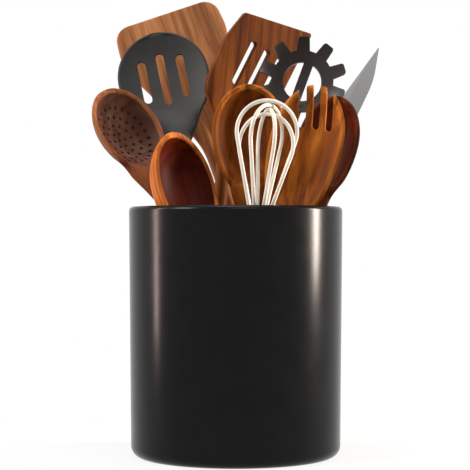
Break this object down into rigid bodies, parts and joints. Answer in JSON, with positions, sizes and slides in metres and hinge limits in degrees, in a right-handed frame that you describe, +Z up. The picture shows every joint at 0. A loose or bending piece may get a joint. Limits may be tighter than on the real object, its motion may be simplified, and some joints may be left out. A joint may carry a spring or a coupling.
{
  "type": "utensil crock",
  "caption": "Round stoneware crock with a set of kitchen utensils standing in it: turners, spoons, ladle, skimmer, pasta server, whisk and knife, each of which lifts out.",
  "frame": {"origin": "middle of the crock's underside", "axes": "+Z up along the crock's axis, +X to the right as seen from the front, front towards -Y"},
  "size_m": [0.2087, 0.1812, 0.3351],
  "materials": {
    "black_glaze": "satin",
    "light_wood": "oiled",
    "brown_wood": "oiled",
    "dark_wood": "oiled",
    "red_wood": "oiled",
    "amber_wood": "oiled",
    "grey_silicone": "matte",
    "charcoal_nylon": "matte",
    "pale_silicone": "matte",
    "steel": "brushed",
    "black_handle": "satin"
  },
  "bodies": {
    "crock": {"crock": "black_glaze"},
    "flat_turner": {"flat_turner": "light_wood"},
    "slotted_turner": {"slotted_turner": "brown_wood"},
    "skimmer": {"skimmer": "dark_wood"},
    "ladle": {"ladle": "red_wood"},
    "serving_spoon": {"serving_spoon": "amber_wood"},
    "fork_spoon": {"fork_spoon": "amber_wood"},
    "mixing_spoon": {"mixing_spoon": "dark_wood"},
    "slotted_spoon": {"slotted_spoon_handle": "brown_wood", "slotted_spoon_head": "grey_silicone"},
    "pasta_server": {"pasta_server_handle": "brown_wood", "pasta_server_head": "charcoal_nylon"},
    "whisk": {"whisk_handle": "brown_wood", "whisk_collar": "pale_silicone", "whisk_loop_1": "pale_silicone", "whisk_loop_2": "pale_silicone", "whisk_loop_3": "pale_silicone", "whisk_loop_4": "pale_silicone"},
    "knife": {"knife_blade": "steel", "knife_scale_front": "black_handle", "knife_scale_back": "black_handle", "knife_rivets": "steel"}
  },
  "joints": [
    {"name": "lift_flat_turner", "type": "slide", "parent": "crock", "child": "flat_turner", "axis": [-0.3205, 0.2552, 0.9122], "range_m": [0, 0.2]},
    {"name": "lift_slotted_turner", "type": "slide", "parent": "crock", "child": "slotted_turner", "axis": [0.0841, 0.0008, 0.9965], "range_m": [0, 0.2]},
    {"name": "lift_skimmer", "type": "slide", "parent": "crock", "child": "skimmer", "axis": [-0.455, 0.2158, 0.8639], "range_m": [0, 0.2]},
    {"name": "lift_ladle", "type": "slide", "parent": "crock", "child": "ladle", "axis": [-0.2681, 0.0798, 0.9601], "range_m": [0, 0.2]},
    {"name": "lift_serving_spoon", "type": "slide", "parent": "crock", "child": "serving_spoon", "axis": [-0.0119, -0.0536, 0.9985], "range_m": [0, 0.2]},
    {"name": "lift_fork_spoon", "type": "slide", "parent": "crock", "child": "fork_spoon", "axis": [0.2548, -0.1479, 0.9556], "range_m": [0, 0.2]},
    {"name": "lift_mixing_spoon", "type": "slide", "parent": "crock", "child": "mixing_spoon", "axis": [0.2585, 0.0403, 0.9652], "range_m": [0, 0.2]},
    {"name": "lift_slotted_spoon", "type": "slide", "parent": "crock", "child": "slotted_spoon", "axis": [-0.203, 0.2896, 0.9354], "range_m": [0, 0.2]},
    {"name": "lift_pasta_server", "type": "slide", "parent": "crock", "child": "pasta_server", "axis": [0.3438, 0, 0.939], "range_m": [0, 0.2]},
    {"name": "lift_whisk", "type": "slide", "parent": "crock", "child": "whisk", "axis": [0.0877, -0.0285, 0.9957], "range_m": [0, 0.2]},
    {"name": "lift_knife", "type": "slide", "parent": "crock", "child": "knife", "axis": [0.4584, 0.1461, 0.8766], "range_m": [0, 0.2]}
  ]
}
